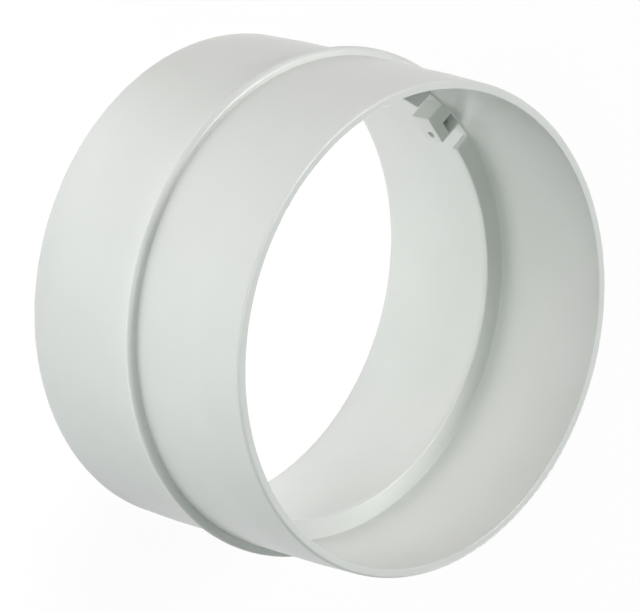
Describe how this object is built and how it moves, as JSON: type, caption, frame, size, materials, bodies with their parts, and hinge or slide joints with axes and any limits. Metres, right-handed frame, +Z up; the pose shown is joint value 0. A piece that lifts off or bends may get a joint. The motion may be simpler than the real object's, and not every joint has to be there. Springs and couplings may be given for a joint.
{
  "type": "duct connector",
  "caption": "Short round plastic tube with a stop rib round its middle, for joining two lengths of round duct, with a seat and axle knuckles for a backdraft flap inside.",
  "frame": {"origin": "centre of the lower rim, on the tube's axis, at the surface that the connector stands on", "axes": "+Z up along the tube's axis from the lower rim to the upper rim, +X along the line of the flap's axle, +Y towards the side of the axis that the axle lies on"},
  "size_m": [0.103, 0.103, 0.0603],
  "materials": {
    "moulded_plastic": "semi-gloss, as moulded"
  },
  "bodies": {
    "root": {"connector_body": "moulded_plastic"}
  },
  "joints": []
}
